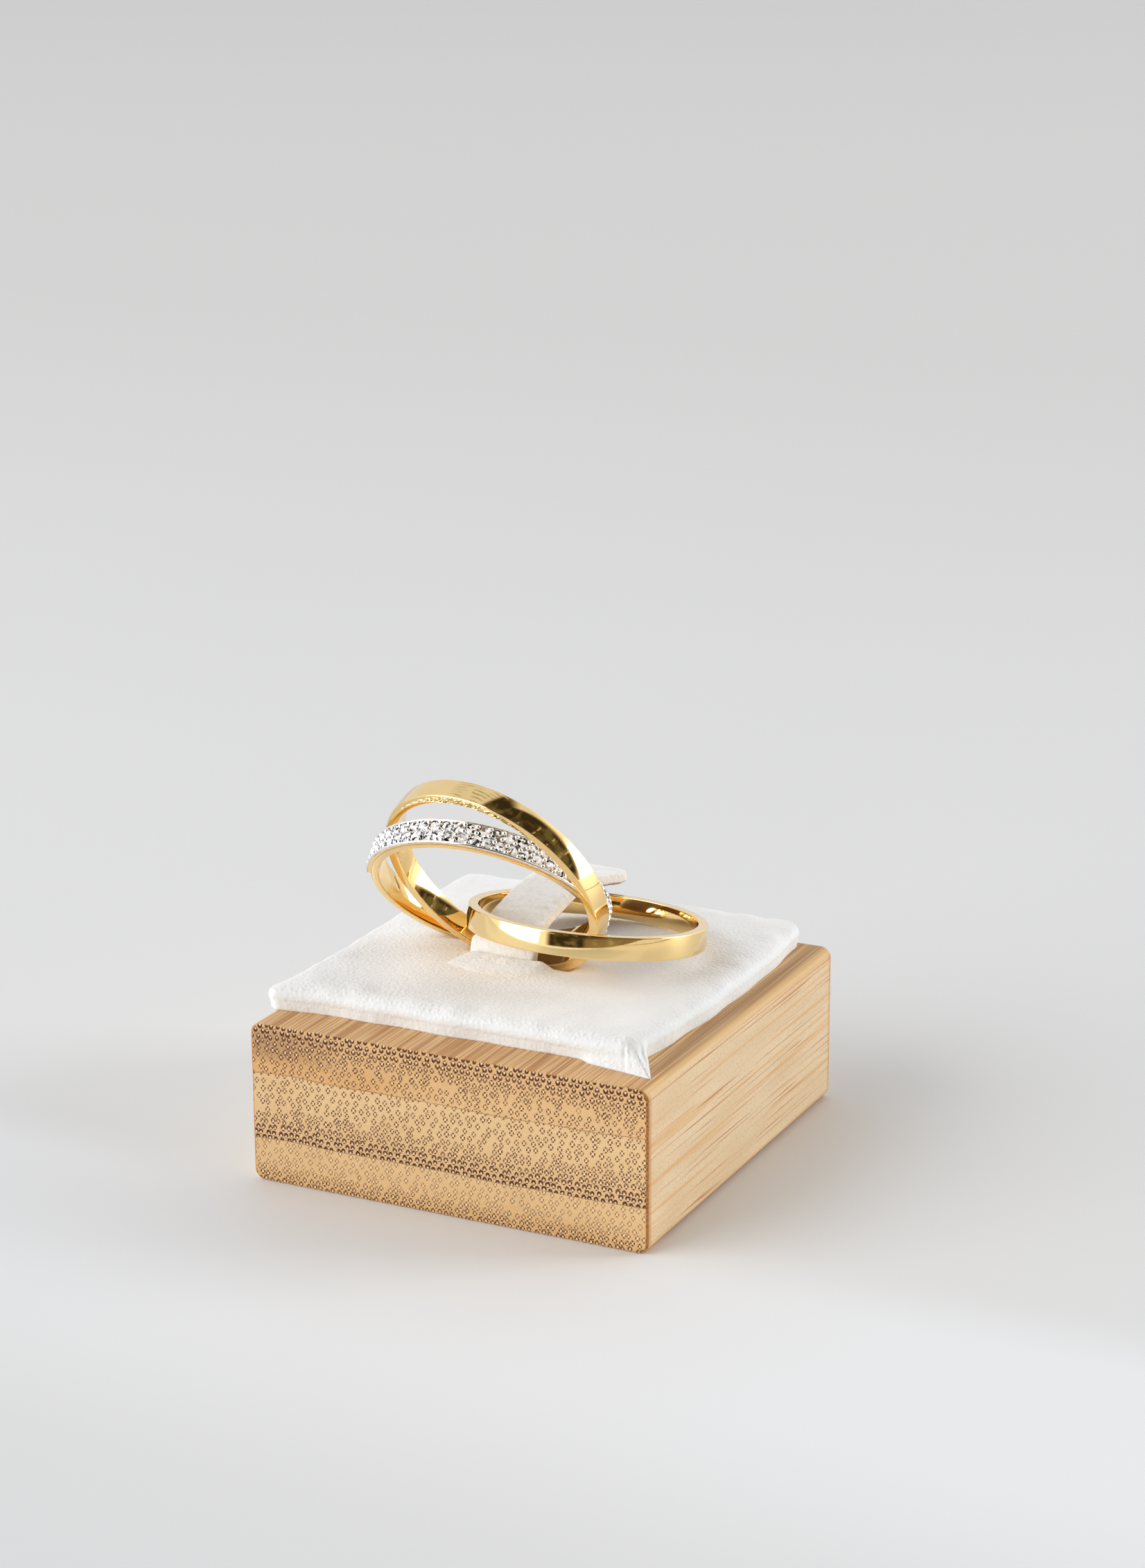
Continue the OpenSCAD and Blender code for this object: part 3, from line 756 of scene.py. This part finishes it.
# beads stand between the stones, a little outside and inside each row's middle line
outside, inside = 0.30, 0.24
stones = np.vstack([places(in_front, row_at), places(between[1:-1], -row_at)])
beads = np.vstack([places(between, row_at + outside), places(in_front, -row_at - outside),
                   places(between[1:-1], row_at - inside), places(in_front, -row_at + inside)])
half_w = stone_width / 2 - 0.01
stones_to = stones_from + stone_step * (in_row - 1)
arc = np.radians(np.linspace(stones_from - plate_past, stones_to + plate_past, 960))
A, H = np.meshgrid(arc, np.linspace(-half_w, half_w, 62), indexing="ij")
height = np.full(A.shape, floor_r)
height += rail_rise * step_up(np.abs(H), half_w - rail_wide, half_w - rail_wide + 0.03)
height -= 0.05 * step_up(np.abs(H), half_w - 0.05, half_w)
# each point's distance from the nearest stone's middle, laid flat
apart = np.hypot((A[..., None] - np.radians(stones[:, 0])) * floor_r, H[..., None] - stones[:, 1]).min(-1)
# a seat is a round cut with a cone below it
seat_gap, seat_side, seat_depth, cone_depth, cone_radius = 0.03, 0.05, 0.16, 0.40, 0.43
seat = np.clip((stone_size / 2 + seat_gap - apart) / seat_side, 0, 1)
height = height - seat * (seat_depth + cone_depth * np.clip(1 - apart / cone_radius, 0, 1))
top_skin = np.stack([height * np.cos(A), height * np.sin(A), H], -1)
# the plate's underside lies sunk in the gold, out of sight
low_skin_r = bore + base_wall - 0.12
A, H = np.meshgrid(arc, np.linspace(half_w, -half_w, 8), indexing="ij")
low_skin = np.stack([low_skin_r * np.cos(A), low_skin_r * np.sin(A), H], -1)
loop = np.concatenate([top_skin, low_skin], 1)
rows, columns = loop.shape[:2]
index = np.arange(rows * columns).reshape(rows, columns)
faces = [*grid_faces(rows, columns, wrap_columns=True).tolist(), index[0].tolist(), index[-1, ::-1].tolist()]


def white_metal(name, recess):
    """Rhodium-bright metal; recess paints shade on the cut floor between the rails and turns the sides gold.
    """
    white = Finish(name)
    shine = white.noise(white.place(), 1500.0, 2.0)
    colour = white.mix(shine, (0.97, 0.97, 0.99), (0.93, 0.93, 0.95))
    if recess:
        # h is the distance from the band's middle plane and r from its axis, in mm
        off = [v / MM - c for v, c in zip(white.parts(white.place()), stone_pose[1])]
        h = sum(v * n for v, n in zip(off, stone_pose[0][:, 2].tolist()))
        r = (sum(v * v for v in off) - h * h) ** 0.5
        # painted shade: the cut floor between the rails is dark
        cut = r.rise(floor_r + 0.030, floor_r + 0.005) * abs(h).rise(half_w - 0.06, half_w - 0.12)
        colour = white.mix(cut * 0.7, colour, (0.22, 0.20, 0.19))
        side = abs(h).rise(half_w - 0.008, half_w - 0.003) * r.rise(floor_r - 0.06, floor_r - 0.09)
        nick = white.noise(white.place(), 2600.0, 2.0).rise(0.50, 0.56)
        nick = nick * r.rise(floor_r - 0.14, floor_r - 0.11)
        side_colour = white.mix(nick, gold_tone, (0.25, 0.21, 0.20))
        colour = white.mix(side, colour, side_colour)
    least_rough = 0.05 if recess else 0.22
    return white.close(Base_Color=colour, Metallic=1.0, Roughness=least_rough + 0.07 * shine)


plate_points = put(loop, stone_pose).reshape(-1, 3)
plate_piece = mesh_piece("stone_plate", plate_points, faces, white_metal("cut_plate", True))
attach(plate_piece, "root")

# One bead is a low dome: rings of ten points at angles t from its top, bead_size * sin t from its
# axis and bead_size * cos t high, closed by a point above and one below. It is repeated everywhere.
bead_size, bead_sunk, ten = 0.225, 0.09, np.radians(np.arange(0, 360, 36))
fall = np.radians([30, 60, 90, 115])
dome_out = np.concatenate([[bead_size], np.repeat(bead_size * np.cos(fall), 10), [-0.08]])
dome_round = np.concatenate([[0], np.outer(bead_size * np.sin(fall), np.cos(ten)).ravel(), [0]])
dome_up = np.concatenate([[0], np.outer(bead_size * np.sin(fall), np.sin(ten)).ravel(), [0]])
at = np.radians(beads[:, :1])
reach_out = floor_r - bead_sunk + dome_out
bead_points = np.stack([reach_out * np.cos(at) - dome_round * np.sin(at),
                        reach_out * np.sin(at) + dome_round * np.cos(at),
                        beads[:, 1:] + dome_up], -1).reshape(-1, 3)
# a bead's points are numbered 0 at its top, then ten to a ring, then 41 below
step, after = np.arange(10), (np.arange(10) + 1) % 10
caps = np.vstack([np.stack([0 * step, 1 + step, 1 + after], 1),
                  np.stack([31 + step, 41 + 0 * step, 31 + after], 1)])
level = np.repeat([1, 11, 21], 10)[:, None]
walls = level + np.tile(np.stack([step, 10 + step, 10 + after, after], 1), (3, 1))
start = 42 * np.arange(len(beads))[:, None, None]
bead_faces = (caps + start).reshape(-1, 3).tolist() + (walls + start).reshape(-1, 4).tolist()
bead_piece = mesh_piece("stone_beads", put(bead_points, stone_pose), bead_faces,
                        white_metal("bead_metal", False))
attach(bead_piece, "root")


# White stones: small cut stones with a table and a ring of facets, set flush in two staggered rows.
# They keep the solids' own facets.
gem = Finish("cut_white_stone")
spark = gem.node("ShaderNodeTexVoronoi", {"feature": "F1"}, {"Vector": gem.place(), "Scale": 4600.0})
flash, tint_by, turn_by = gem.parts(spark.outputs["Color"])
# painted light: more of the facets shine white at the left than at the right
leftward, _, _ = gem.parts(gem.place())
lit = (flash + leftward.rise(0.004, -0.009) * 0.20).rise(0.52, 0.56)
# painted reflection: some unlit cells are warm, and the darkest are near black
gem_colour = gem.mix(tint_by.rise(0.5, 0.8) * (1 - lit) * 0.7, (0.98, 0.98, 1.0), (0.80, 0.60, 0.42))
gem_colour = gem.mix(flash.rise(0.22, 0.18), gem_colour, (0.03, 0.026, 0.024))
# inner facets seen through the stone: each small cell mirrors its own direction
out_x, out_y, out_z = gem.parts(gem.node("ShaderNodeNewGeometry").outputs["Normal"])
facet = gem.vector(out_x + (flash - 0.5) * 1.5, out_y + (tint_by - 0.5) * 1.5,
                   out_z + (turn_by - 0.5) * 1.5)
facet = gem.node("ShaderNodeVectorMath", {"operation": "NORMALIZE"}, {0: facet}).outputs[0]
# painted light: the lit cells glow a little
gem_glow = gem.mix(lit, (0, 0, 0), (0.22, 0.22, 0.23))
gem_material = gem.close(Base_Color=gem_colour, Roughness=0.03 + 0.08 * tint_by,
                         Metallic=0.85 - 0.75 * lit, IOR=2.2, Normal=facet,
                         Emission_Color=gem_glow, Emission_Strength=1.0)
stones_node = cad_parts["band_stones"]
stones_node.data.materials.clear()
stones_node.data.materials.append(gem_material)
